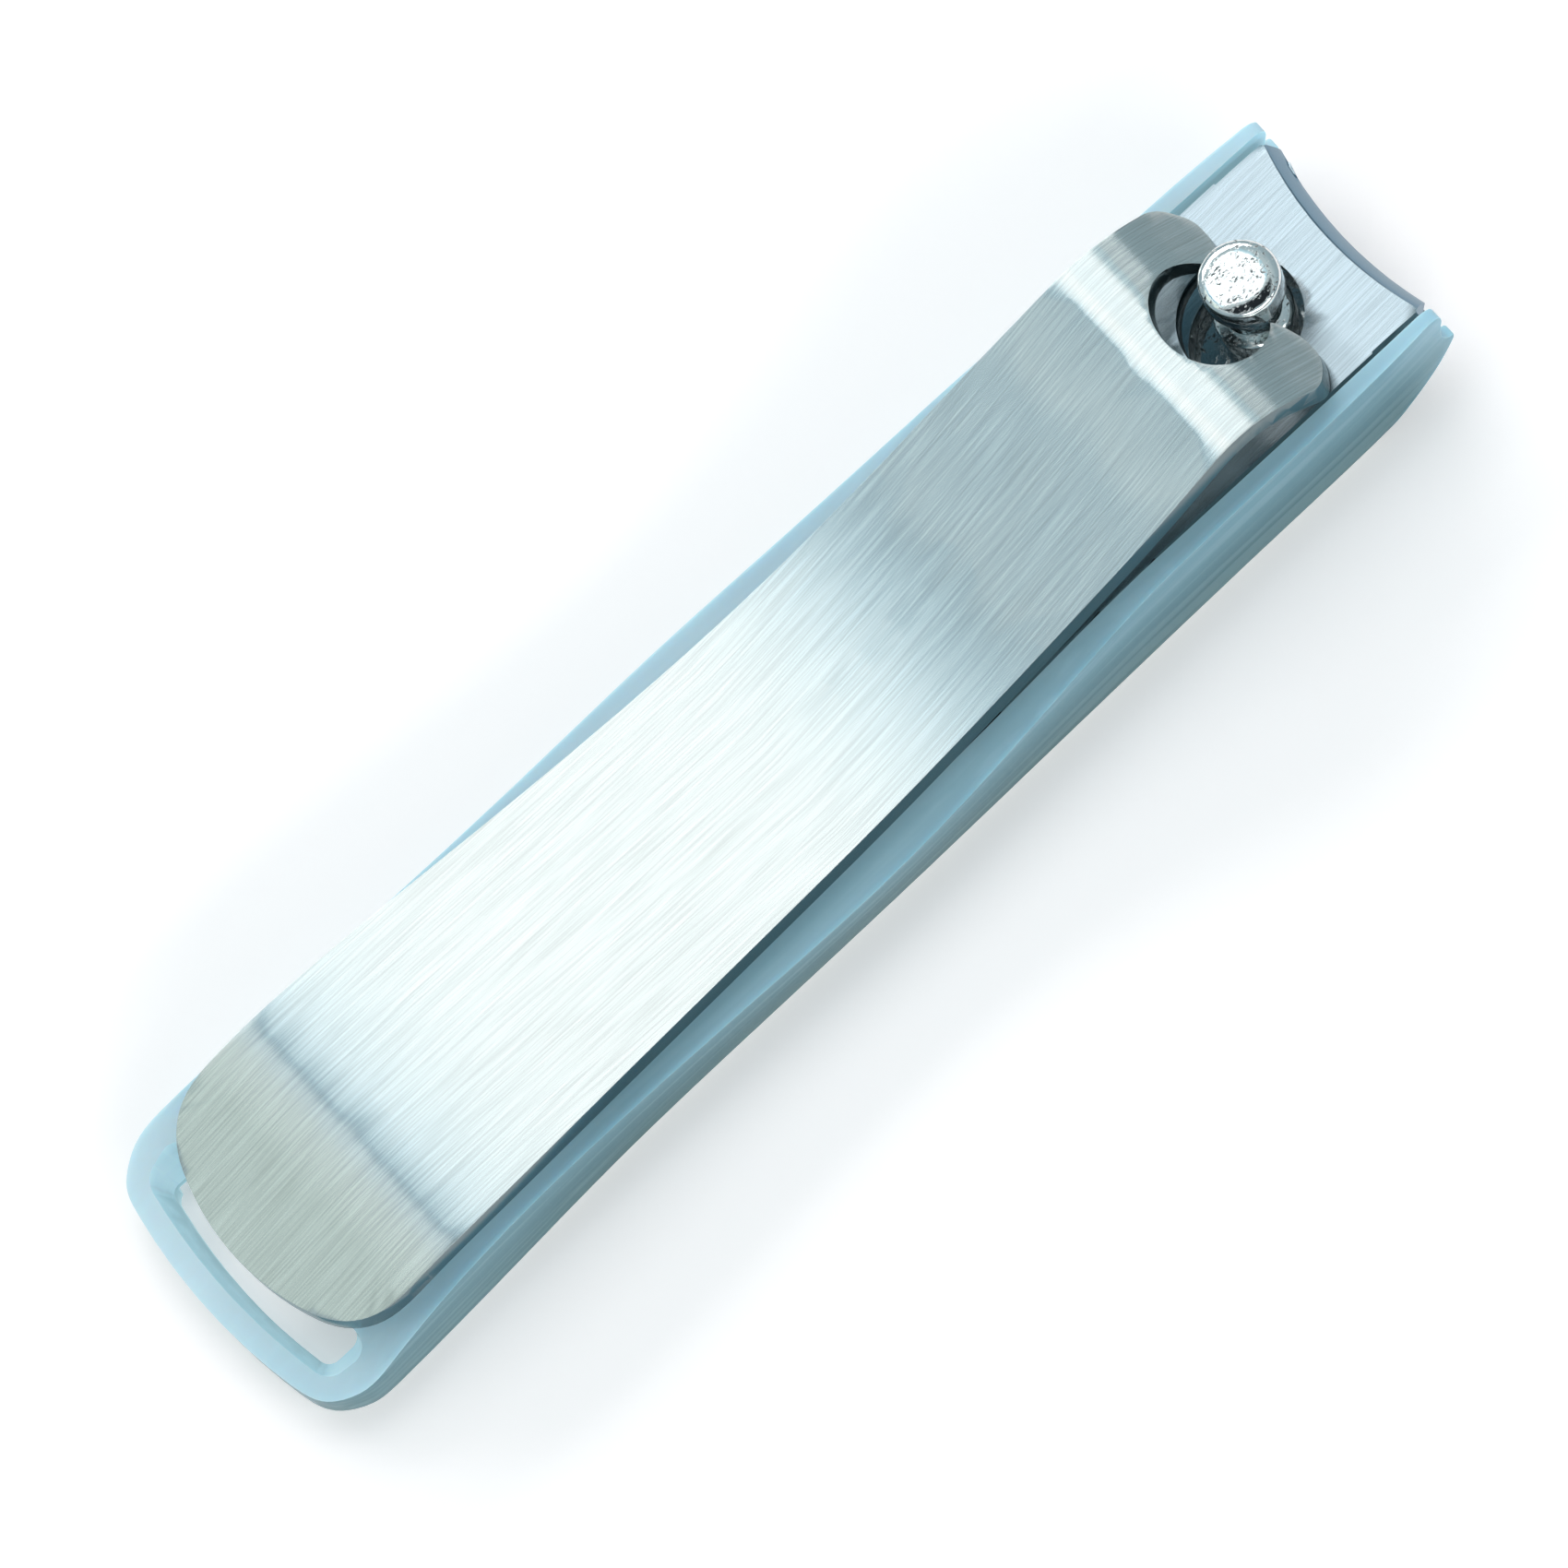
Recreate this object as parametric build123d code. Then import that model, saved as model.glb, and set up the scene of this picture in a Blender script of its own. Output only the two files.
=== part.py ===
from build123d import *
from math import cos, radians, tan
import os

# A large nail clipper with a moulded catcher for the clippings, with its lever
# stored: turned over and lying along the top.  Lengths are in millimetres.
# +X runs to the cutting edges, +Y to the clipper's left and +Z up.  The origin
# is on the surface that the clipper lies on, under the middle of its length.

# ---- driving dimensions ---------------------------------------------------
LENGTH = 82.0              # catcher's tail to the cutting corners
TAIL_X = -LENGTH / 2
FRONT_X = LENGTH / 2

FLOOR = 0.9                # thickness of the catcher's floor
RIM_Z = 6.85               # rim's height beside the jaws
EDGE_ROUND = 0.8           # rounding along the catcher's lower edge

STRIP = 1.3                # thickness of both blade strips
BLADE_HALF = 6.5           # half the blades' width
JAW_STEP = 0.1             # the ground jaws are this much narrower each side
JAW_STEP_X = 37.1
JAW_CORNER = 0.55          # clipped corner of each jaw
BLADE_REAR = -33.0
HINGE_X = -24.0            # front end of the contact between the two strips
JAW_TOP = 6.55             # top of the upper jaw
JAW_GAP = 2.05             # opening between the two cutting edges
EDGE_MID_X = 40.15         # cutting edge on the centreline
EDGE_RADIUS = 24.0         # the cutting edges are hollow arcs of this radius

POST_X = 33.65             # the post turns about a vertical line here
LEAN = 6.0                 # the post's lean, degrees
SHANK_R = 2.2
NECK_R = 1.6
HEAD_R = 2.22
HEAD_THICK = 2.15
FLANGE_R = 4.7
FLANGE_THICK = 0.65
HOLE_X = 33.35             # centre of both blades' holes
UPPER_HOLE_R = 3.45
LOWER_HOLE_R = 3.85
NECK_Z = 7.85              # height of the lever's axis, at the middle of the neck

LEVER_REAR = -38.05
LEVER_THICK = 1.4
HORN_TIP_X = 35.0
KNUCKLE_R = 1.25           # the horns' tips roll on the blade at this radius
HORN_SLOT_HALF = 3.36      # round hole in the sloping end, seen from above
HORN_SLOT_LENGTH = 5.3
HORN_SLOT_X = 32.2
THROAT_HALF = 2.0          # the slot's mouth, narrower than the post's head

RIVET_X = -28.6
RIVET_R = 1.5

BAR_WIDE = 2.0             # bar behind the lanyard slot, at its middle
LANYARD_WIDE = 2.95
LANYARD_HALF = 6.67
WEB_LOW = 0.95             # the web round the slot, between these two heights
WEB_TOP = 1.4
TAIL_BOW = 0.0145          # how fast the tail's shallow curve falls away, per mm

# Half-widths of the catcher at places along X: its foot, its walls carried up
# to the crown's height, and the hollow inside them.
CROWN_Z = 9.0
FOOT_SIDE = [(-36.0, 9.6), (-29.0, 9.28), (-20.0, 8.7), (-10.0, 8.48), (0.0, 8.38), (14.0, 8.2),
             (28.0, 8.03), (36.0, 7.88), (44.0, 7.2)]
CROWN_SIDE = [(-36.0, 9.6), (-29.0, 9.02), (-20.0, 9.08), (-10.0, 9.42), (0.0, 9.75), (9.0, 9.06),
              (18.7, 8.18), (28.0, 7.9), (36.0, 7.8), (44.0, 7.15)]
HOLLOW_SIDE = [(-34.4, 7.6), (-20.0, 7.45), (-10.0, 7.2), (0.0, 6.95), (14.0, 6.85), (28.0, 6.87),
               (44.0, 6.75)]

# ---- places that follow from them -----------------------------------------
LOWER_TOP = FLOOR + STRIP
LOWER_EDGE_Z = JAW_TOP - STRIP - JAW_GAP
UPPER_EDGE_Z = JAW_TOP - STRIP
EDGE_CENTRE_X = EDGE_MID_X + EDGE_RADIUS
PIVOT_Z = LOWER_TOP - STRIP / 2
NECK_X = POST_X + (NECK_Z - PIVOT_Z) * tan(radians(LEAN))
BIG = 60.0                 # reach of cutting tools beyond the clipper
os.makedirs("parts", exist_ok=True)


def side_solid(face_edges, half_width=BIG):
    """A side view closed by the given edges in the XZ plane, swept across Y."""
    outline = make_face(face_edges)
    return extrude(outline, amount=half_width, both=True)


def at_side(points):
    """Side-view points (x, z) as points of the XZ plane."""
    return [Vector(x, 0, z) for x, z in points]


def side_band(top_points, thickness):
    """Edges of a bent strip whose upper face passes through the given points."""
    upper = Spline(*at_side(top_points))
    count = 40
    lower = []
    for step in range(count + 1):
        place = upper @ (step / count)
        along = upper % (step / count)
        lower.append(place + Vector(along.Z, 0, -along.X) * thickness)
    under = Spline(*lower)
    return [upper, under, Line(upper @ 0, under @ 0), Line(upper @ 1, under @ 1)]


def disc_cut(radius, x, low=-BIG, high=BIG):
    return Pos(x, 0, low) * extrude(Circle(radius), amount=high - low)


def turned(points, x):
    """A solid turned about the vertical line at x, from (radius, z) points."""
    outline = make_face(Polyline(*at_side(points), close=True))
    return Pos(x, 0, 0) * revolve(outline, Axis.Z)


# ---- catcher: one moulding with floor, walls and lanyard bar ----------------
def tail_arc(inset, half):
    """Shallow arc of the tail, or one parallel to it further in."""
    tail = TAIL_X + inset
    end = tail + TAIL_BOW * half * half
    return ThreePointArc((end, half), (tail, 0), (end, -half))


def wall_sides(side):
    """The left and right walls' lines in plan."""
    left = Spline(*[Vector(x, half) for x, half in side])
    right = Spline(*[Vector(x, -half) for x, half in side])
    return left, right


def catcher_outline(side):
    """Plan of the catcher from the rounded tail to the open front, at one height."""
    left, right = wall_sides(side)
    rear = tail_arc(0, 6.3)
    left_corner = Spline(left @ 0, Vector(-38.3, 9.3), Vector(-39.65, 8.35), rear @ 0,
                         tangents=((left % 0) * -1, rear % 0))
    right_corner = Spline(rear @ 1, Vector(-39.65, -8.35), Vector(-38.3, -9.3), right @ 0,
                          tangents=(rear % 1, right % 0))
    return make_face([left, left_corner, rear, right_corner, right, Line(left @ 1, right @ 1)])


def catcher_block():
    """Solid between the walls' outer faces, which lean from foot to crown."""
    crown = Pos(0, 0, CROWN_Z) * catcher_outline(CROWN_SIDE)
    return loft([catcher_outline(FOOT_SIDE).face(), crown.face()], ruled=True)


def catcher_side():
    """Side view: low tail, rim rising forward, notched front, lifted chin."""
    rear_rim = Spline(*at_side([
        (TAIL_X - 1, 2.45), (-38.5, 2.7), (-35.0, 3.6), (-29.0, 4.6), (-16.0, 4.93), (0.0, 4.9),
        (6.0, 5.2), (10.8, 5.7), (14.0, 6.12), (17.5, 6.58), (22.0, RIM_Z)]))
    front_rim = Line((22.0, 0, RIM_Z), (FRONT_X - 1.0, 0, RIM_Z))
    front = Spline(*at_side([
        (FRONT_X - 1.0, RIM_Z), (FRONT_X - 0.1, 6.2), (FRONT_X - 0.55, 5.0), (FRONT_X - 0.35, 3.6),
        (FRONT_X - 1.0, 2.5)]), tangents=((1, 0, 0), (-0.8, 0, -0.6)))
    chin = Spline(*at_side([(FRONT_X - 1.0, 2.5), (37.8, 1.35), (35.2, 0.5), (31.5, 0.0)]),
                  tangents=((-0.8, 0, -0.6), (-1, 0, 0)))
    base = Polyline(*at_side([(31.5, 0), (TAIL_X - 1, 0), (TAIL_X - 1, 2.45)]))
    return side_solid([rear_rim, front_rim, front, chin, *base.edges()])


def slot_outline(inset, half, round_corner):
    """Slot in the tail: its rear side runs parallel to the tail."""
    front_x = TAIL_X + BAR_WIDE + LANYARD_WIDE
    rear = tail_arc(inset, half)
    sides = Polyline(rear @ 0, (front_x, half), (front_x, -half), rear @ 1)
    outline = make_face([rear, *sides.edges()])
    return fillet(outline.vertices(), round_corner)


def lanyard_slot():
    """Through slot in a thin web; the bar and the slot's ends slope down to it."""
    slot = extrude(slot_outline(BAR_WIDE, LANYARD_HALF, 0.75), amount=BIG, both=True)
    relief = Pos(0, 0, WEB_LOW - BIG) * extrude(
        slot_outline(BAR_WIDE + 0.4, LANYARD_HALF + 0.9, 0.75), amount=BIG)
    low = Pos(0, 0, WEB_TOP) * slot_outline(BAR_WIDE, LANYARD_HALF, 0.75)
    high = Pos(0, 0, WEB_TOP + 2.0) * slot_outline(BAR_WIDE - 1.18, LANYARD_HALF + 1.65, 1.3)
    return slot + relief + loft([low.face(), high.face()], ruled=True)


def rounded_tips():
    """Everything behind the walls' rounded front ends."""
    radius = 0.55
    reach = Pos(FRONT_X - radius - BIG, 0, 0) * Box(2 * BIG, BIG, BIG)
    for side in (1, -1):
        reach = reach + Pos(FRONT_X - radius, side * 7.18, 0) * Cylinder(radius, BIG)
    return reach


def make_catcher():
    body = catcher_block()
    body = fillet(body.edges().group_by(Axis.Z)[0], EDGE_ROUND)
    body = body & catcher_side() & rounded_tips()
    left, right = wall_sides(HOLLOW_SIDE)
    room = make_face([left, right, Line(left @ 0, right @ 0), Line(left @ 1, right @ 1)])
    hollow = Pos(0, 0, LOWER_TOP + 0.15) * extrude(room, amount=BIG, dir=(0, 0, 1))
    channel = Pos(BLADE_REAR - 0.05 + BIG, 0, FLOOR + BIG / 2) * Box(
        2 * BIG, 2 * BLADE_HALF + 0.06, BIG)
    mouth = Pos(POST_X + BIG / 2, 0, 0) * Box(BIG, 2 * FLANGE_R + 1.0, 2 * FLOOR + 1)
    mouth = mouth + disc_cut(FLANGE_R + 0.5, POST_X, -1, FLOOR + 0.5)
    return body - hollow - channel - mouth - lanyard_slot()


# ---- blades ------------------------------------------------------------------
def blade_plan():
    """Plan of a strip: rounded rear, and slightly narrower jaws with clipped corners."""
    rear = Pos(BLADE_REAR + 10.0, 0) * RectangleRounded(20.0, 2 * BLADE_HALF, 4.5)
    front = Pos((BLADE_REAR + 10.0 + JAW_STEP_X) / 2, 0) * Rectangle(
        JAW_STEP_X - BLADE_REAR - 10.0, 2 * BLADE_HALF)
    half = BLADE_HALF - JAW_STEP
    tip_half = half - JAW_CORNER
    jaw = make_face(Polyline(
        (JAW_STEP_X - 1, half), (40.2, half), (40.95, tip_half), (44.0, tip_half), (44.0, -tip_half),
        (40.95, -tip_half), (40.2, -half), (JAW_STEP_X - 1, -half), close=True))
    return extrude(rear + front + jaw, amount=20.0, dir=(0, 0, 1))


def make_lower_blade():
    upper = Spline(*at_side([(33.5, LOWER_TOP), (37.5, LOWER_TOP + 0.35), (42.0, LOWER_EDGE_Z + 0.2)]),
                   tangents=((1, 0, 0), (0.97, 0, 0.22)))
    under = Spline(*at_side([(42.0, LOWER_EDGE_Z - 1.0), (38.6, 1.45), (35.8, FLOOR)]),
                   tangents=((-0.9, 0, -0.4), (-1, 0, 0)))
    edges = Polyline(*at_side([
        (35.8, FLOOR), (BLADE_REAR - 5, FLOOR), (BLADE_REAR - 5, LOWER_TOP), (33.5, LOWER_TOP)]))
    nose = Line(upper @ 1, under @ 0)
    strip = side_solid([upper, nose, under, *edges.edges()]) & blade_plan()
    grind = turned([(20, 9), (EDGE_RADIUS, 9), (EDGE_RADIUS, LOWER_EDGE_Z),
                    (EDGE_RADIUS + 1.0, LOWER_EDGE_Z - 1.2), (EDGE_RADIUS + 1.0, -2), (20, -2)],
                   EDGE_CENTRE_X)
    rivet_hole = disc_cut(RIVET_R + 0.12, RIVET_X)
    sink = turned([(0, -1), (RIVET_R + 1.1, -1), (RIVET_R + 1.1, FLOOR + 0.2),
                   (RIVET_R + 0.12, FLOOR + 1.0), (0, FLOOR + 1.0)], RIVET_X)
    return strip - grind - disc_cut(LOWER_HOLE_R, HOLE_X) - rivet_hole - sink


def make_upper_blade():
    rear_top = LOWER_TOP + STRIP
    top = Spline(*at_side([
        (HINGE_X - 2.0, rear_top), (-14.0, 3.95), (6.0, 5.05), (20.0, 6.1), (28.0, 6.5),
        (36.0, JAW_TOP), (38.8, JAW_TOP - 0.04), (42.0, JAW_TOP - 0.4)]),
        tangents=((1, 0, 0), (0.97, 0, -0.2)))
    rear = Polyline(*at_side([
        (HINGE_X - 2.0, rear_top), (BLADE_REAR - 5, rear_top), (BLADE_REAR - 5, LOWER_TOP),
        (HINGE_X, LOWER_TOP)]))
    under = Spline(*at_side([
        (HINGE_X, LOWER_TOP), (-14.0, 2.68), (6.0, 3.76), (20.0, 4.8), (28.0, UPPER_EDGE_Z - 0.05),
        (36.0, UPPER_EDGE_Z), (42.0, UPPER_EDGE_Z)]), tangents=((0.998, 0, 0.04), (1, 0, 0)))
    nose = Line(top @ 1, under @ 1)
    strip = side_solid([top, *rear.edges(), under, nose]) & blade_plan()
    grind = turned([(20, -2), (EDGE_RADIUS, -2), (EDGE_RADIUS, UPPER_EDGE_Z),
                    (EDGE_RADIUS + 0.12, JAW_TOP - 0.95), (EDGE_RADIUS + 0.42, JAW_TOP - 0.35),
                    (EDGE_RADIUS + 0.62, JAW_TOP - 0.12), (EDGE_RADIUS + 0.85, JAW_TOP + 0.05),
                    (EDGE_RADIUS + 0.85, 9), (20, 9)], EDGE_CENTRE_X)
    return strip - grind - disc_cut(UPPER_HOLE_R, HOLE_X) - disc_cut(RIVET_R, RIVET_X)


def make_rivet():
    """Tail rivet: domed head on the upper strip, flared foot in the lower one."""
    top = LOWER_TOP + STRIP
    foot = FLOOR + 0.05
    return turned([(0, foot), (RIVET_R + 0.55, foot), (RIVET_R, foot + 0.5), (RIVET_R, top),
                   (RIVET_R + 1.0, top), (RIVET_R + 0.85, top + 0.3), (RIVET_R + 0.2, top + 0.55),
                   (0, top + 0.65)], RIVET_X)


# ---- post ----------------------------------------------------------------------
def make_post():
    """Stud that leans forward on a level flange: shank, waisted neck, round head."""
    lean_len = 1 / cos(radians(LEAN))
    neck = (NECK_Z - PIVOT_Z) * lean_len
    head = neck + 0.95
    top = head + HEAD_THICK
    low = -(PIVOT_Z - 0.45) * lean_len
    sides = Polyline(*at_side([
        (0, top), (0, low), (SHANK_R, low), (SHANK_R, neck - 1.7), (SHANK_R - 0.25, neck - 1.45),
        (NECK_R, neck - 1.3), (NECK_R, neck + 0.75), (NECK_R + 0.25, head), (HEAD_R - 0.2, head),
        (HEAD_R, head + 0.25), (HEAD_R, top - 0.55)]))
    dome = Spline(*at_side([(0, top), (1.7, top - 0.04), (2.03, top - 0.18), (HEAD_R, top - 0.55)]),
                  tangents=((1, 0, 0), (0, 0, -1)))
    stud = revolve(make_face([*sides.edges(), dome]), Axis.Z)
    stud = Pos(POST_X, 0, PIVOT_Z) * Rot(0, LEAN, 0) * stud
    flange_low = FLOOR - 0.05 - FLANGE_THICK
    flange = turned([(0, flange_low), (FLANGE_R - 0.3, flange_low), (FLANGE_R, flange_low + 0.3),
                     (FLANGE_R, FLOOR - 0.05), (0, FLOOR - 0.05)], POST_X)
    clear = Pos(POST_X, 0, flange_low - BIG / 2) * Box(BIG, BIG, BIG)
    return stud + flange - clear


# ---- lever ---------------------------------------------------------------------
def lever_plan():
    """Plan of the lever: broad rounded tail, waist, and the open-ended horns."""
    side = [(-31.5, 8.46), (-24.4, 8.3), (-15.0, 7.83), (-5.0, 7.37), (5.0, 7.06), (14.0, 6.92),
            (23.5, 6.84), (30.5, 6.7), (33.2, 6.82)]
    left_side = Spline(*[Vector(x, half) for x, half in side])
    rear = ThreePointArc((LEVER_REAR + 1.0, -5.4), (LEVER_REAR, 0), (LEVER_REAR + 1.0, 5.4))
    corner = Spline(rear @ 1, Vector(-35.2, 7.75), left_side @ 0, tangents=(rear % 1, left_side % 0))
    shoulder = Spline(left_side @ 1, Vector(34.45, 6.1), Vector(HORN_TIP_X, 4.6),
                      tangents=(left_side % 1, (0, -1, 0)))
    inner = Spline(Vector(HORN_TIP_X, 4.1), Vector(34.72, 2.95), Vector(34.0, THROAT_HALF),
                   tangents=((0, -1, 0), (-1, -0.2, 0)))
    throat = Polyline(shoulder @ 1, inner @ 0)
    mouth = Polyline(inner @ 1, Vector(HORN_SLOT_X, THROAT_HALF), Vector(HORN_SLOT_X, 0))
    left = [corner, left_side, shoulder, throat, inner, *mouth.edges()]
    right = [edge.mirror(Plane.XZ) for edge in left]
    blank = make_face([*left, *right, rear])
    return blank - Pos(HORN_SLOT_X, 0) * Ellipse(HORN_SLOT_LENGTH / 2, HORN_SLOT_HALF)


def make_lever():
    top_line = [(-38.6, 5.15), (-36.5, 5.6), (-33.0, 6.38), (-30.5, 6.82), (-27.0, 7.02), (-22.0, 7.0),
                (-16.0, 6.8), (-10.0, 6.57), (-5.0, 6.49), (0.0, 6.53), (4.5, 6.8), (9.1, 7.33),
                (14.0, 8.12), (18.7, 9.03), (23.5, 10.02), (26.4, 10.7), (28.4, 11.05), (30.3, 10.85),
                (32.0, 10.15), (33.2, 9.3), (34.3, 8.35), (35.2, 7.65), (36.0, 7.2)]
    band = side_solid(side_band(top_line, LEVER_THICK), 12.0)
    lever = band & extrude(lever_plan(), amount=14.0)
    below_neck = Pos(NECK_X + BIG / 2, 0, NECK_Z - BIG / 2) * Box(BIG, BIG, BIG)
    knuckle = Pos(NECK_X, 0, NECK_Z) * Rot(90, 0, 0) * Cylinder(KNUCKLE_R, BIG)
    resting = Pos(31.0 + BIG / 2, 0, JAW_TOP + 0.13 - BIG / 2) * Box(BIG, BIG, BIG)
    return lever - (below_neck - knuckle) - resting


def save(shape, name):
    shape.label = name
    export_step(shape, os.path.join("parts", name + ".step"))


save(make_catcher(), "catcher")
save(make_lower_blade(), "lower_blade")
save(make_upper_blade(), "upper_blade")
save(make_rivet(), "tail_rivet")
save(make_post(), "post")
save(make_lever(), "lever")
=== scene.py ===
import bpy
import math
from mathutils import Matrix, Vector


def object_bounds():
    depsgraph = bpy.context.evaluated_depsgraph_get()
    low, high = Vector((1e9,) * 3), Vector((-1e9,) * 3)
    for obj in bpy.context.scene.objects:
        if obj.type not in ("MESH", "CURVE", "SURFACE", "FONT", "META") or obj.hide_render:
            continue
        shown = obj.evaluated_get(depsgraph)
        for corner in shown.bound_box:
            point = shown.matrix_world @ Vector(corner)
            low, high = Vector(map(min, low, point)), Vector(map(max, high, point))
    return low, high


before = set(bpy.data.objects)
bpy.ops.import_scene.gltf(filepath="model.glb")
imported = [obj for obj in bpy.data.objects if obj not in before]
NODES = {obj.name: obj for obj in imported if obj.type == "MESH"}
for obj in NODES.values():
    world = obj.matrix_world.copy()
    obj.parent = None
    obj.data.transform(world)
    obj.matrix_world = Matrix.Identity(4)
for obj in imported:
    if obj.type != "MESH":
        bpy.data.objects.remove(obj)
cad_low, cad_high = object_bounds()
MM = 0.001
TAIL = cad_low.x / MM              # ends of the clipper, in millimetres of X
FRONT = cad_high.x / MM


# ---- node helpers -----------------------------------------------------------
class Nodes:
    """A small builder for shader trees: each call adds one node and links its inputs."""

    def __init__(self, tree):
        self.tree = tree
        tree.nodes.clear()

    def add(self, kind, settings=None, **inputs):
        node = self.tree.nodes.new(kind)
        for key, value in (settings or {}).items():
            setattr(node, key, value)
        for key, value in inputs.items():
            self.feed(node, key.replace("_", " "), value)
        return node

    def feed(self, node, key, value):
        """Links a socket or a node's first output to an input, or sets a plain value."""
        socket = node.inputs[int(key) if key.isdigit() else key]
        if isinstance(value, bpy.types.NodeSocket):
            self.tree.links.new(value, socket)
        elif isinstance(value, bpy.types.Node):
            self.tree.links.new(value.outputs[0], socket)
        else:
            socket.default_value = value

    def math(self, operation, first, second=0.0):
        node = self.add("ShaderNodeMath", {"operation": operation})
        self.feed(node, "0", first)
        self.feed(node, "1", second)
        return node.outputs[0]

    def step(self, value, off, on):
        """0 at off, 1 at on, and a smooth change between them."""
        node = self.add("ShaderNodeMapRange", {"interpolation_type": "SMOOTHSTEP"}, Value=value)
        node.inputs["From Min"].default_value = off
        node.inputs["From Max"].default_value = on
        return node.outputs[0]

    def window(self, value, low, high, soft):
        """1 between low and high, with soft borders."""
        rise = self.step(value, low - soft, low + soft)
        fall = self.step(value, high - soft, high + soft)
        return self.math("SUBTRACT", rise, fall)

    def ramp(self, factor, stops):
        node = self.add("ShaderNodeValToRGB", Fac=factor)
        marks = node.color_ramp.elements
        while len(marks) < len(stops):
            marks.new(0.5)
        for mark, (place, colour) in zip(marks, stops):
            mark.position = place
            mark.color = (*colour, 1.0)
        return node.outputs[0]

    def mix(self, factor, first, second):
        node = self.add("ShaderNodeMix", {"data_type": "RGBA"})
        self.feed(node, "0", factor)
        self.feed(node, "6", first)
        self.feed(node, "7", second)
        return node.outputs[2]

    def tint(self, base, colour, mask, strength=1.0):
        """Base, turned towards colour where mask is 1, by strength."""
        return self.mix(self.math("MULTIPLY", mask, strength), base, (*colour, 1.0))

    def millimetres(self, stretch=(1, 1, 1)):
        """The piece's own coordinates in millimetres, scaled by stretch."""
        coords = self.add("ShaderNodeTexCoord")
        mapping = self.add("ShaderNodeMapping", Vector=coords.outputs["Object"])
        mapping.inputs["Scale"].default_value = [s / MM for s in stretch]
        return mapping.outputs[0]

    def place(self):
        """X, Y and Z of the point, in the piece's own millimetres."""
        return self.add("ShaderNodeSeparateXYZ", Vector=self.millimetres()).outputs

    def facing(self):
        """X, Y and Z of the face's direction, along the piece's own axes."""
        face = self.add("ShaderNodeNewGeometry")
        turned = self.add("ShaderNodeVectorTransform",
                          {"vector_type": "NORMAL", "convert_from": "WORLD", "convert_to": "OBJECT"},
                          Vector=face.outputs["Normal"])
        return self.add("ShaderNodeSeparateXYZ", Vector=turned).outputs

    def scaled(self, vector, stretch):
        node = self.add("ShaderNodeVectorMath", {"operation": "MULTIPLY"})
        self.feed(node, "0", vector)
        self.feed(node, "1", stretch)
        return node.outputs[0]

    def noise(self, vector, detail=2.0, rough=0.5):
        return self.add("ShaderNodeTexNoise", Vector=vector, Scale=1.0, Detail=detail,
                        Roughness=rough).outputs["Fac"]


def new_material(name):
    material = bpy.data.materials.new(name)
    material.use_nodes = True
    return material, Nodes(material.node_tree)


def shade(colour, factor):
    return [c * factor for c in colour]


# ---- materials ---------------------------------------------------------------
BRUSH_SLANT = -0.06                # sideways drift of the strokes, per millimetre forward
BEVEL_REFLECTION = (0.17, 0.26, 0.33)  # painted dark reflection on the bevel behind the cutting edge
GROUND_LENGTH = 2.4                # millimetres behind the front that the grinding reaches


def brushed_steel(name, colour, side_shade, roughness):
    """Satin steel brushed lengthwise, with painted shade on its upright cut edges and a painted dark
    reflection on the ground bevel.
    """
    material, n = new_material(name)
    place = n.place()
    slant = n.math("MULTIPLY", n.math("MAXIMUM", place["X"], 0.0), BRUSH_SLANT)
    grid = n.add("ShaderNodeCombineXYZ", X=place["X"], Y=n.math("ADD", place["Y"], slant),
                 Z=place["Z"])
    fine = n.noise(n.scaled(grid, (0.28, 11.0, 0.2)), 0.0)
    broad = n.noise(n.scaled(grid, (0.09, 5.5, 0.3)), 0.0)
    mottle = n.noise(n.scaled(grid, (0.3, 0.3, 0.3)), 3.0, 0.55)
    streak = n.math("ADD", n.math("MULTIPLY", fine, 0.75), n.math("MULTIPLY", broad, 0.25))
    tone = n.ramp(streak, [(0.25, shade(colour, 0.85)), (0.75, shade(colour, 1.15))])
    dull = n.ramp(mottle, [(0.35, shade(colour, 0.95)), (0.65, shade(colour, 1.02))])
    base = n.mix(0.15, tone, dull)
    facing = n.facing()
    # Painted shade: faces that stand upright, the cut edges, take the darker side colour.
    base = n.tint(base, side_shade, n.step(n.math("ABSOLUTE", facing["Z"]), 0.8, 0.3))
    # Painted dark reflection on the ground bevel, where faces lean forward near the front.
    at_edge = n.step(place["X"], FRONT - GROUND_LENGTH - 0.5, FRONT - GROUND_LENGTH + 0.5)
    ground = n.math("MULTIPLY", n.step(facing["X"], 0.2, 0.5), at_edge)
    base = n.tint(base, BEVEL_REFLECTION, ground)
    across = n.add("ShaderNodeCombineXYZ", Y=1.0)
    tangent = n.add("ShaderNodeVectorTransform",
                    {"vector_type": "VECTOR", "convert_from": "OBJECT", "convert_to": "WORLD"},
                    Vector=across)
    rough = n.math("ADD", n.math("MULTIPLY", streak, 0.03), roughness - 0.015)
    shader = n.add("ShaderNodeBsdfPrincipled", Base_Color=base, Roughness=rough, Tangent=tangent)
    shader.inputs["Metallic"].default_value = 1.0
    shader.inputs["Anisotropic"].default_value = 0.97
    n.add("ShaderNodeOutputMaterial", Surface=shader)
    return material


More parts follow.
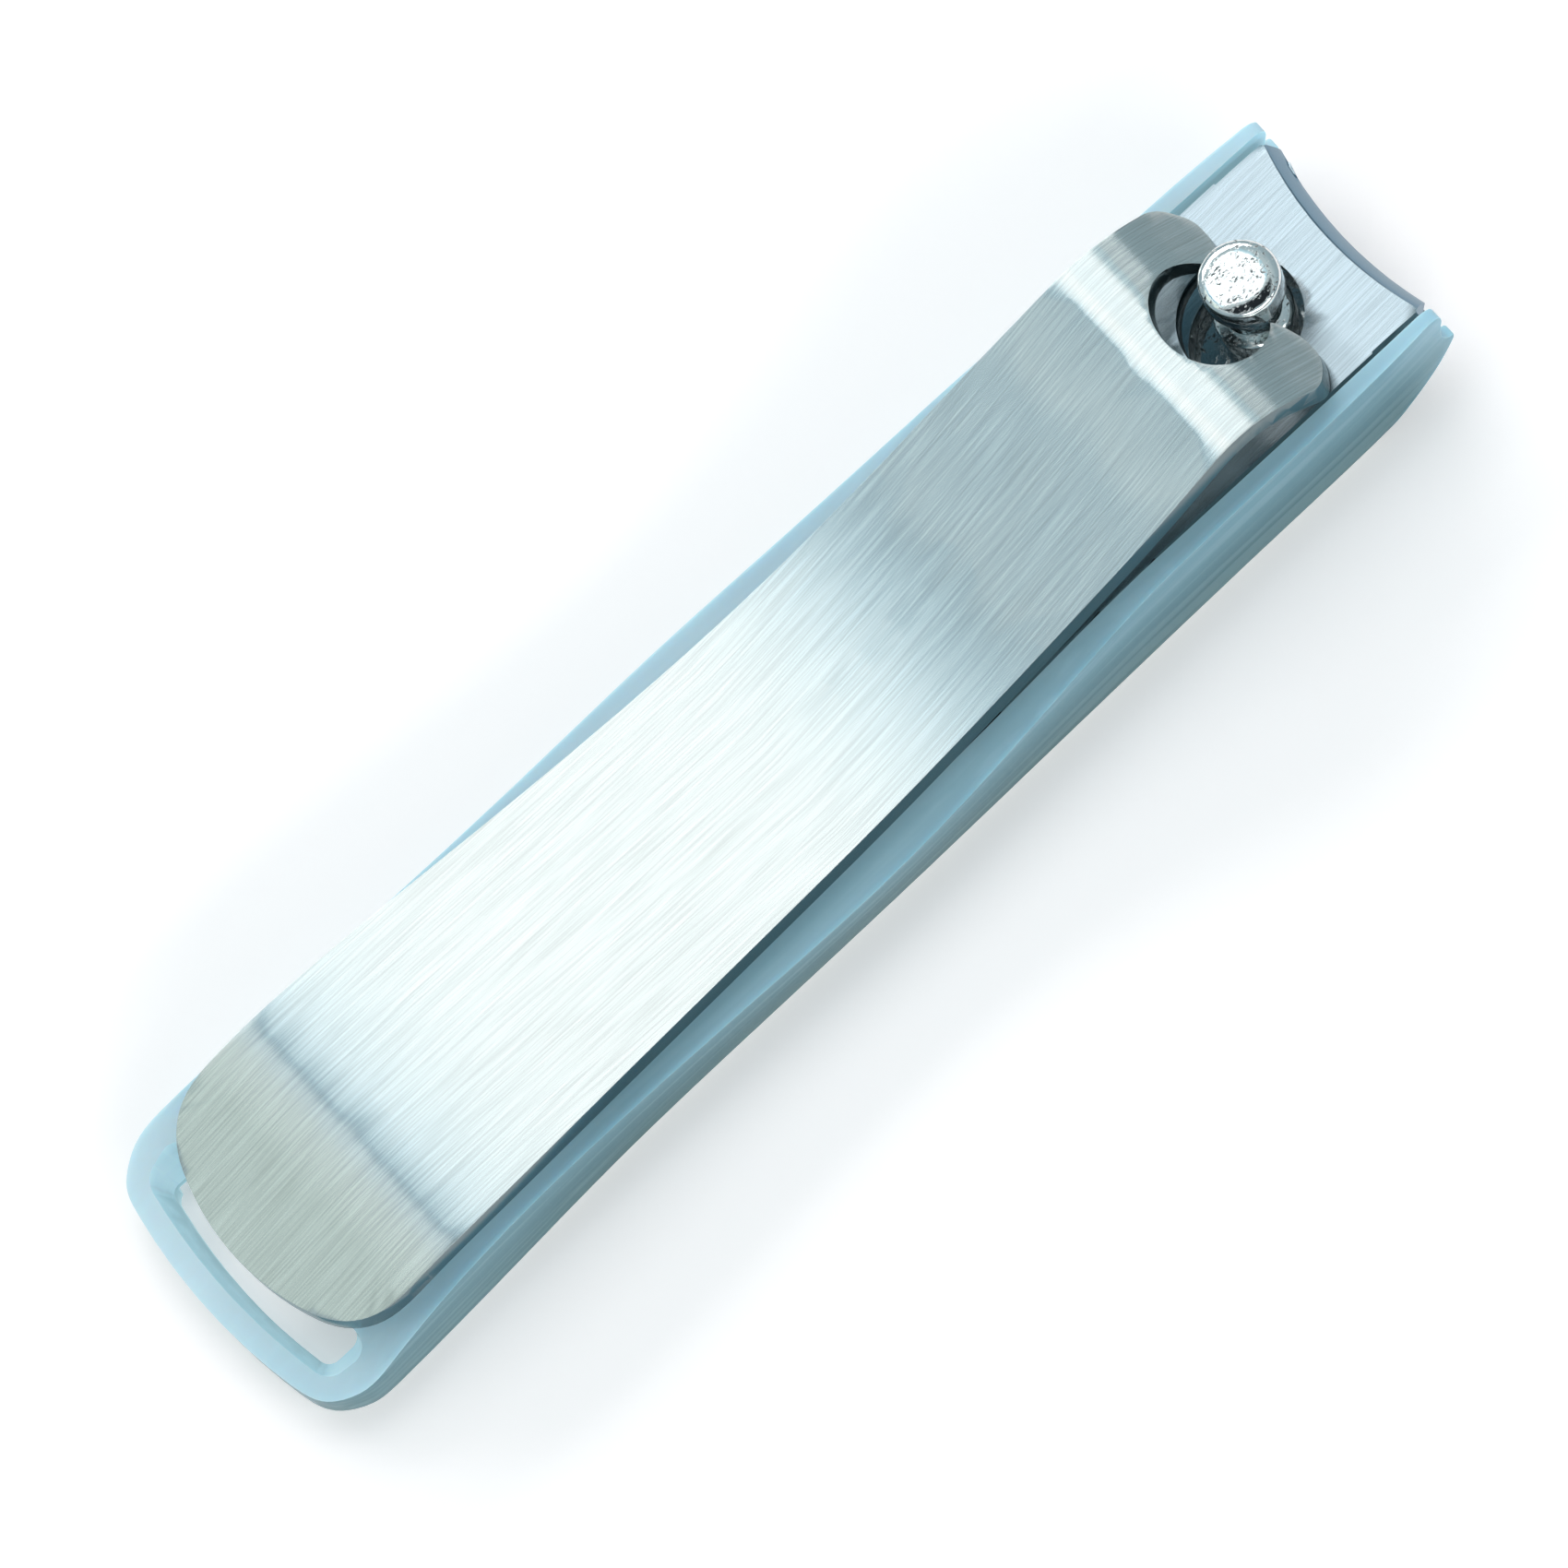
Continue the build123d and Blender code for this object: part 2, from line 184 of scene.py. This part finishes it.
def chrome(name):
    """Bright plated steel, pitted and scuffed in patches."""
    material, n = new_material(name)
    scuff = n.noise(n.millimetres((1.3, 1.3, 1.3)), 3.0, 0.6)
    pits = n.noise(n.millimetres((4.0, 7.0, 5.0)), 3.0, 0.65)
    pit = n.math("MULTIPLY", n.step(pits, 0.54, 0.62), n.step(scuff, 0.42, 0.56))
    tone = n.mix(pit, (0.80, 0.81, 0.80, 1), (0.08, 0.09, 0.09, 1))
    rough = n.math("ADD", n.math("MULTIPLY", pits, 0.10), 0.02)
    bump = n.add("ShaderNodeBump", Height=n.math("SUBTRACT", scuff, pit), Strength=0.5,
                 Distance=0.03 * MM)
    shader = n.add("ShaderNodeBsdfPrincipled", Base_Color=tone, Roughness=rough, Normal=bump)
    shader.inputs["Metallic"].default_value = 1.0
    n.add("ShaderNodeOutputMaterial", Surface=shader)
    return material


WALL_HEIGHT = 7.0                  # millimetres, from the table to the catcher's rim


def wall_shade_colour(n, place):
    """The catcher's walls, a shaded copy of the plastic: painted shade makes them deep blue, lighter
    towards the rim, with a thin painted highlight at the foot and painted light near the tail.
    """
    # Painted shade by height: dark down the walls, with a thin painted highlight at the foot.
    wall = n.ramp(n.math("DIVIDE", place["Z"], WALL_HEIGHT),
                  [(0.03, (0.26, 0.36, 0.34)), (0.09, (0.02, 0.11, 0.12)),
                   (0.35, (0.02, 0.12, 0.15)), (0.85, (0.12, 0.28, 0.35))])
    # Painted light: the walls are made lighter near the tail.
    return n.tint(wall, (0.24, 0.40, 0.45), n.step(place["X"], TAIL + 23, TAIL + 9), 0.30)


def rim_tone_and_shade(n, place):
    """Faces that look up: pale with random clouding, painted shade on the right side, deepest along
    the right rim's outer edge over the middle, and painted light palest at the tail.
    """
    cloud = n.noise(n.millimetres((0.10, 0.35, 0.35)), 3.0)
    rim = n.ramp(cloud, [(0.3, (0.45, 0.57, 0.64)), (0.7, (0.50, 0.62, 0.68))])
    # Painted shade on the right side, then painted light at the tail.
    rim = n.tint(rim, (0.21, 0.42, 0.52), n.step(place["Y"], 2.0, -7.0), 0.65)
    rim = n.tint(rim, (0.70, 0.80, 0.84), n.step(place["X"], TAIL + 11, TAIL + 3), 0.5)
    # Painted shade along the right rim's outer edge over the middle.
    right_rim_shade = n.step(place["Y"], -6.0, -8.5)
    middle = n.window(place["X"], TAIL + 19, FRONT - 7, 6.0)
    return n.tint(rim, (0.08, 0.22, 0.28), n.math("MULTIPLY", right_rim_shade, middle), 0.55)


def painted_glow(n, place, facing):
    """Painted glow, emission that lifts the plastic's shade: a little everywhere, more on faces that
    look up, most on faces that look inward and on the tail bar's front.
    """
    inward = n.step(n.math("MULTIPLY", facing["Y"], place["Y"]), -0.5, -4.0)
    bar = n.math("MULTIPLY", n.step(facing["X"], 0.3, 0.8), n.step(place["X"], TAIL + 7, TAIL + 4))
    inward = n.math("MULTIPLY", n.math("MAXIMUM", inward, bar), 0.50)
    upward = n.math("MULTIPLY", facing["Z"], 0.16)
    return n.math("ADD", n.math("MAXIMUM", upward, inward), 0.04)


def milky_plastic(name):
    """Moulded light-blue plastic with painted light and shade: pale where it faces up, deeper in
    colour down the walls, paler at the front tip, and a painted glow.
    """
    material, n = new_material(name)
    place = n.place()
    facing = n.facing()
    # Painted light and shade: faces that look up take the pale rim colour, the walls the shaded one.
    tone = n.mix(n.step(facing["Z"], 0.1, 0.85), wall_shade_colour(n, place), rim_tone_and_shade(n, place))
    # Painted light: paler towards the front tip.
    tone = n.tint(tone, (0.50, 0.72, 0.82), n.step(place["X"], FRONT - 5, FRONT), 0.3)
    lines = n.noise(n.millimetres((0.03, 1.2, 2.2)))
    tone = n.tint(tone, (0.60, 0.80, 0.88), n.step(lines, 0.45, 0.65), 0.10)
    grain = n.noise(n.millimetres((3.0, 3.0, 3.0)), 4.0, 0.65)
    rough = n.math("ADD", n.math("MULTIPLY", grain, 0.15), 0.26)
    bump = n.add("ShaderNodeBump", Height=grain, Strength=0.25, Distance=0.02 * MM)
    # The emission is a painted glow that lights the plastic's shaded faces.
    shader = n.add("ShaderNodeBsdfPrincipled", Base_Color=tone, Roughness=rough, Normal=bump,
                   Emission_Strength=painted_glow(n, place, facing))
    shader.inputs["Subsurface Weight"].default_value = 0.5
    shader.inputs["Subsurface Radius"].default_value = (0.5, 1.0, 1.3)
    shader.inputs["Subsurface Scale"].default_value = 1.0 * MM
    shader.inputs["Emission Color"].default_value = (0.34, 0.58, 0.66, 1)
    shader.inputs["IOR"].default_value = 1.49
    n.add("ShaderNodeOutputMaterial", Surface=shader)
    return material


def floor_paper(name):
    """Pale studio paper, lifted a little by a light of its own."""
    material, n = new_material(name)
    soft = n.noise(n.millimetres((0.02, 0.02, 0.02)))
    tone = n.ramp(soft, [(0.3, (0.96, 0.895, 0.885)), (0.7, (0.97, 0.905, 0.895))])
    shader = n.add("ShaderNodeBsdfPrincipled", Base_Color=tone, Roughness=0.9)
    shader.inputs["Specular IOR Level"].default_value = 0.1
    shader.inputs["Emission Color"].default_value = (1, 0.98, 0.97, 1)
    shader.inputs["Emission Strength"].default_value = 0.31
    n.add("ShaderNodeOutputMaterial", Surface=shader)
    return material


# The third colour given to each steel is its painted side shade.
LEVER_STEEL = brushed_steel("lever_steel", (0.60, 0.635, 0.625), (0.22, 0.27, 0.28), 0.24)
BLADE_STEEL = brushed_steel("blade_steel", (0.47, 0.54, 0.58), (0.12, 0.15, 0.16), 0.26)
POST_CHROME = chrome("post_chrome")
PLASTIC = milky_plastic("catcher_plastic")


# ---- the clipper's pieces -------------------------------------------------------
def finish_node(name, material, round_edge):
    """Gives a CAD node its material and rounds its sharp edges by round_edge millimetres."""
    piece = NODES[name]
    piece.data.materials.clear()
    piece.data.materials.append(material)
    weld = piece.modifiers.new("join", "WELD")
    weld.merge_threshold = 0.002 * MM
    bevel = piece.modifiers.new("edge", "BEVEL")
    bevel.width = round_edge * MM
    bevel.segments = 3
    bevel.limit_method = "ANGLE"
    bevel.angle_limit = math.radians(32)
    bevel.use_clamp_overlap = True
    even = piece.modifiers.new("even", "WEIGHTED_NORMAL")
    even.mode = "FACE_AREA"
    even.weight = 100
    even.keep_sharp = True


finish_node("lever", LEVER_STEEL, 0.22)
finish_node("upper_blade", BLADE_STEEL, 0.10)
finish_node("lower_blade", BLADE_STEEL, 0.10)
finish_node("tail_rivet", POST_CHROME, 0.08)
finish_node("post", POST_CHROME, 0.10)
finish_node("catcher", PLASTIC, 0.22)


# ---- floor and light ------------------------------------------------------------
FLOOR_REACH = 600.0                # millimetres each way
FLOOR_GAP = 0.02                   # millimetres below the clipper, so no two faces coincide
CARD_HEIGHT = 200.0                # millimetres above the clipper
CARD_X = (-170.0, 150.0)
CARD_Y = (20.0, 170.0)
# The card's light along its length: millimetres of X, and the colour there. Its narrow
# dark place shows as a band at each of the lever's two gentle bends.
CARD_GLOW = [
    (-130, (0.86, 1.01, 0.95)), (-95, (0.86, 1.00, 0.97)), (-80, (0.86, 1.01, 1.02)),
    (-68, (0.84, 1.02, 1.10)), (-61.5, (0.98, 1.18, 1.26)), (-59.5, (0.96, 1.18, 1.26)),
    (-57.5, (0.05, 0.22, 0.32)), (-53.5, (0.01, 0.18, 0.30)), (-50.5, (0.36, 0.70, 0.88)),
    (-45.5, (0.90, 1.18, 1.32)), (-38, (1.30, 1.54, 1.66)), (-29, (1.55, 1.72, 1.78)),
    (-20, (1.69, 1.80, 1.84)), (-10, (1.80, 1.87, 1.89)), (2, (1.81, 1.86, 1.86)),
    (25, (1.58, 1.72, 1.78)), (65, (1.60, 1.74, 1.80)), (98, (1.62, 1.74, 1.78)),
    (112, (1.40, 1.52, 1.56)), (123, (0.66, 0.90, 1.00)), (140, (0.46, 0.70, 0.80))]


def make_panel(name, x_range, y_range, height, material):
    """A flat rectangle of the studio; all sizes are in millimetres."""
    left, right = x_range
    near, far = y_range
    corners = [(left, near), (right, near), (right, far), (left, far)]
    mesh = bpy.data.meshes.new(name)
    mesh.from_pydata([(x * MM, y * MM, 0) for x, y in corners], [], [(0, 1, 2, 3)])
    mesh.materials.append(material)
    panel = bpy.data.objects.new(name, mesh)
    panel.location.z = height * MM
    bpy.context.scene.collection.objects.link(panel)
    return panel


def make_floor():
    reach = (-FLOOR_REACH, FLOOR_REACH)
    height = cad_low.z / MM - FLOOR_GAP
    floor = make_panel("floor", reach, reach, height, floor_paper("floor_paper"))


def make_card():
    """A soft light panel close above, which the steel mirrors."""
    material, n = new_material("card_light")
    left, right = CARD_X
    along = n.add("ShaderNodeMapRange", Value=n.place()["X"])
    along.inputs["From Min"].default_value = left
    along.inputs["From Max"].default_value = right
    glow = n.ramp(along, [((x - left) / (right - left), colour) for x, colour in CARD_GLOW])
    light = n.add("ShaderNodeEmission", Color=glow, Strength=1.0)
    n.add("ShaderNodeOutputMaterial", Surface=light)
    card = make_panel("card", CARD_X, CARD_Y, CARD_HEIGHT, material)
    card.visible_camera = False


def make_world():
    """Studio surround by direction: dim walls, a dark flag and two bright cards."""
    world = bpy.data.worlds.new("studio")
    bpy.context.scene.world = world
    world.use_nodes = True
    n = Nodes(world.node_tree)
    coords = n.add("ShaderNodeTexCoord")
    way = n.add("ShaderNodeSeparateXYZ", Vector=coords.outputs["Generated"]).outputs
    height = n.math("MAXIMUM", way["Z"], 0.02)
    across = n.math("DIVIDE", way["X"], height)
    back = n.math("DIVIDE", way["Y"], height)

    def patch(side, depth, border):
        """A soft-edged rectangle on a ceiling one unit above the clipper."""
        return n.math("MULTIPLY", n.window(across, *side, border), n.window(back, *depth, 0.06))

    colour = n.ramp(way["Z"], [(0.0, (0.30, 0.40, 0.44)), (0.55, (0.36, 0.48, 0.53)),
                               (0.8, (0.55, 0.66, 0.69))])
    near_side = n.step(n.math("MULTIPLY", way["Y"], -1.0), 0.1, 0.95)
    colour = n.tint(colour, (0.10, 0.16, 0.18), near_side, 0.45)
    colour = n.tint(colour, (0.02, 0.025, 0.03), patch((-0.7, 0.7), (-0.75, 0.0), 0.12))
    colour = n.tint(colour, (6.5, 6.5, 6.5), patch((-0.6, 1.5), (1.35, 2.2), 0.05))
    colour = n.tint(colour, (4.5, 4.5, 4.5), patch((-1.2, 1.2), (-2.4, -1.3), 0.05))
    background = n.add("ShaderNodeBackground", Color=colour, Strength=1.0)
    n.add("ShaderNodeOutputWorld", Surface=background)


# ---- camera ---------------------------------------------------------------------
TILT = math.radians(22)            # how far the camera leans to the clipper's right side
TURN = math.radians(42.65)         # the long axis, above the picture's horizontal
FIELD = 81.46 * MM                 # width of the picture at the clipper
FIELD_HEIGHT = 4.0 * MM            # height in the clipper at which FIELD holds
AIM = Vector((-0.455, 0.73, 0.0)) * MM
LENS = 800.0
SENSOR = 36.0


def make_camera():
    """A long lens above the clipper, rolled so that the clipper lies on a diagonal."""
    data = bpy.data.cameras.new("camera")
    data.lens = LENS
    data.sensor_width = SENSOR
    data.clip_start = 0.01
    data.clip_end = 10.0
    camera = bpy.data.objects.new("camera", data)
    bpy.context.scene.collection.objects.link(camera)
    back = Vector((0, -math.sin(TILT), math.cos(TILT)))
    flat_up = Vector((0, math.cos(TILT), math.sin(TILT)))
    long_axis = Vector((1, 0, 0))
    right = long_axis * math.cos(TURN) - flat_up * math.sin(TURN)
    up = long_axis * math.sin(TURN) + flat_up * math.cos(TURN)
    turn = Matrix((right, up, back)).transposed()
    reach = LENS * FIELD / SENSOR + FIELD_HEIGHT * math.cos(TILT)
    camera.matrix_world = Matrix.Translation(AIM + back * reach) @ turn.to_4x4()
    bpy.context.scene.camera = camera


make_camera()
make_floor()
make_card()
make_world()
bpy.context.scene.view_settings.view_transform = "Standard"
